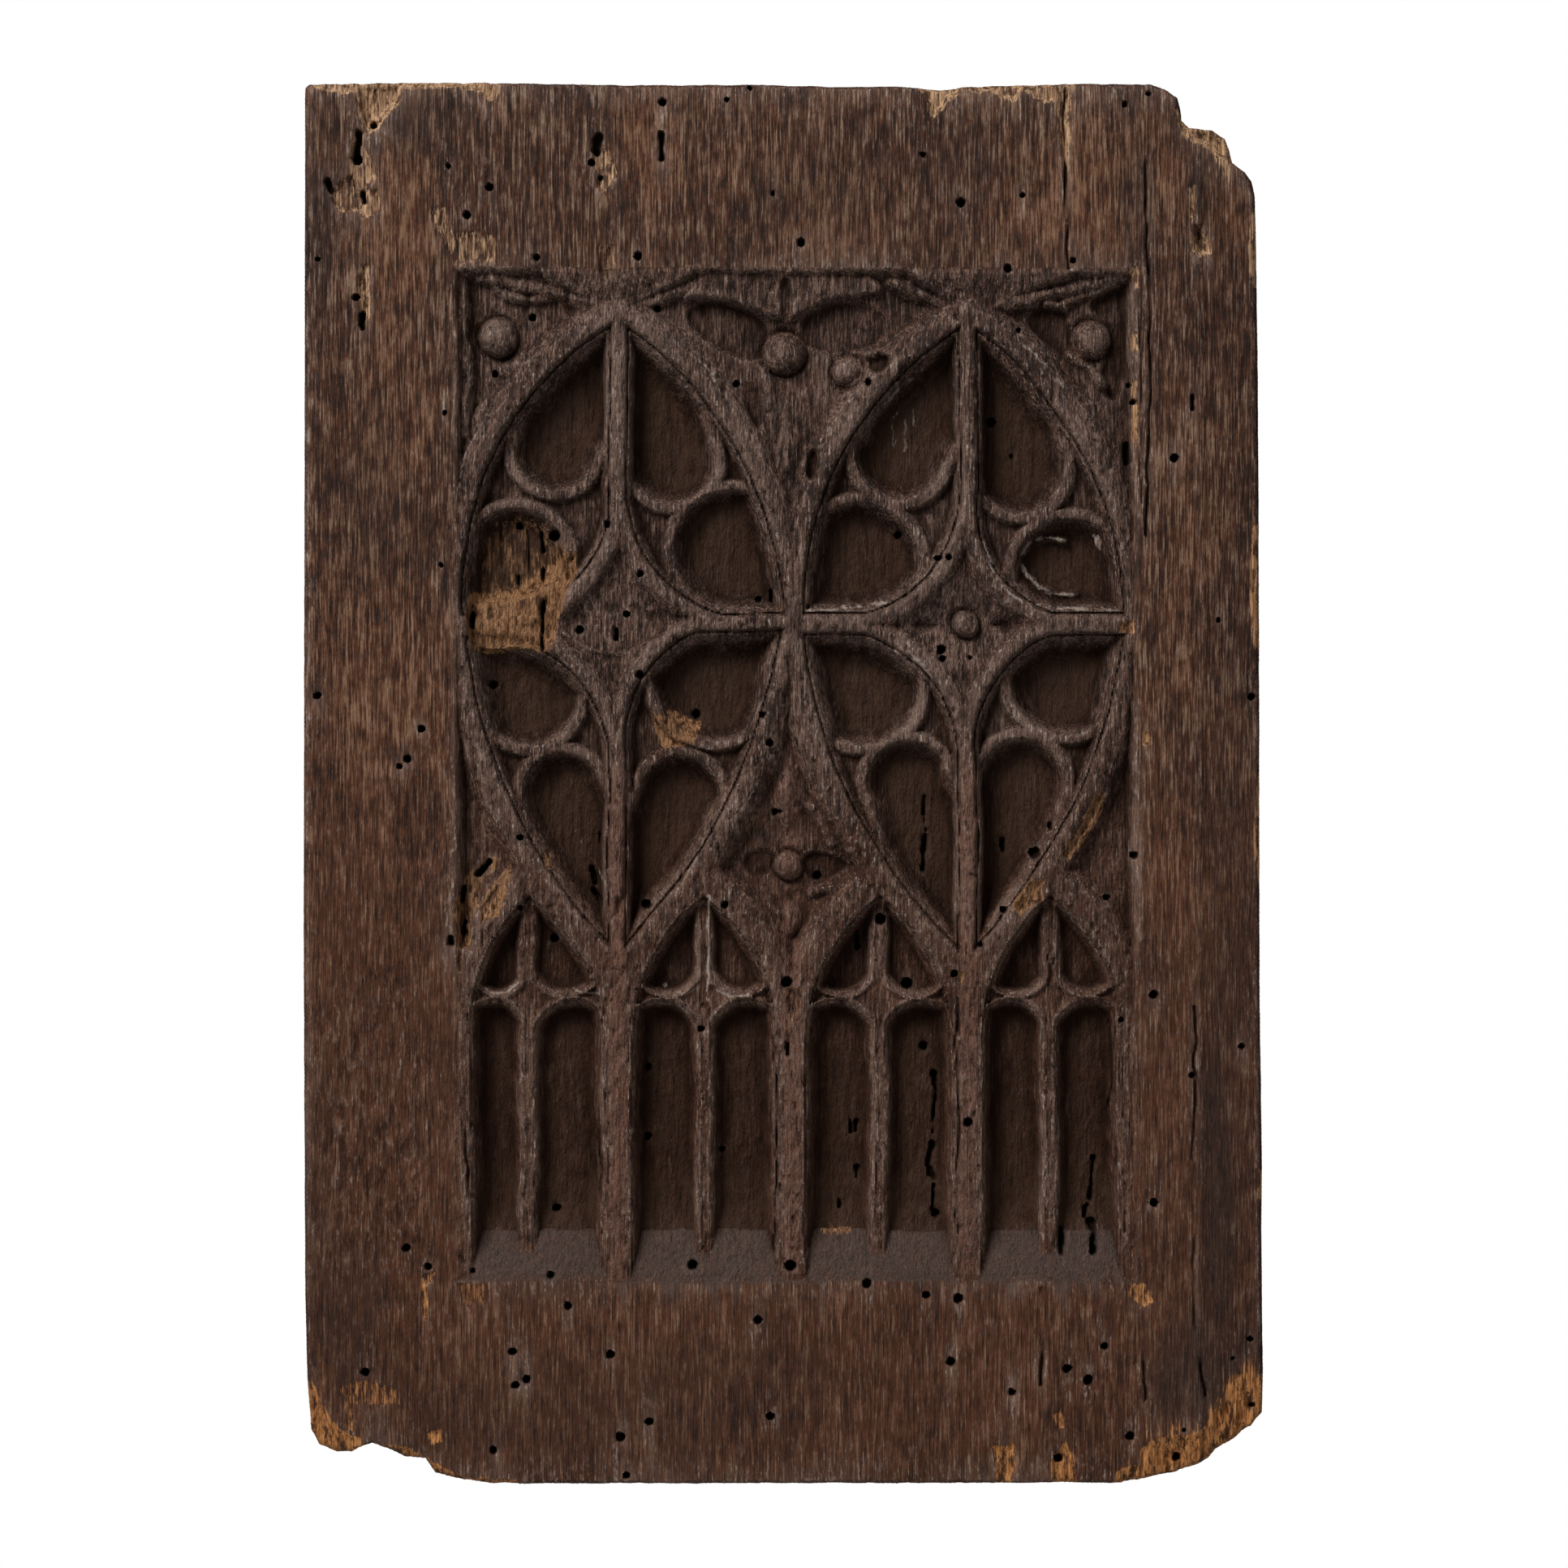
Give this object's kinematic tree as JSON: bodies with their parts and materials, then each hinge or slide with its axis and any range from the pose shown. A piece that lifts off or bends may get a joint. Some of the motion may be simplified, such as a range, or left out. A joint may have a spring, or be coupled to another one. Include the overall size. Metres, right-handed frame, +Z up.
{
  "type": "carved wall panel",
  "caption": "Upright oak board carved on its front with a sunk field of Gothic blind tracery: pointed ovals with four-pointed stars over cusped lancet lights. Back plain and flat.",
  "frame": {"origin": "middle of the flat back face, at half the board's width and half its height, where it lies on the wall", "axes": "+Z up along the grain, +Y out of the back into the wall, the carved front faces -Y, +X to the right seen from the front"},
  "size_m": [0.26, 0.024, 0.38],
  "materials": {
    "oak": "very old dry oak, dark brown with a thin grey waxy bloom on the raised ribs, ingrained dirt in the hollows, raw pale wood at the breaks"
  },
  "bodies": {
    "root": {"carved_panel": "oak"}
  },
  "joints": []
}
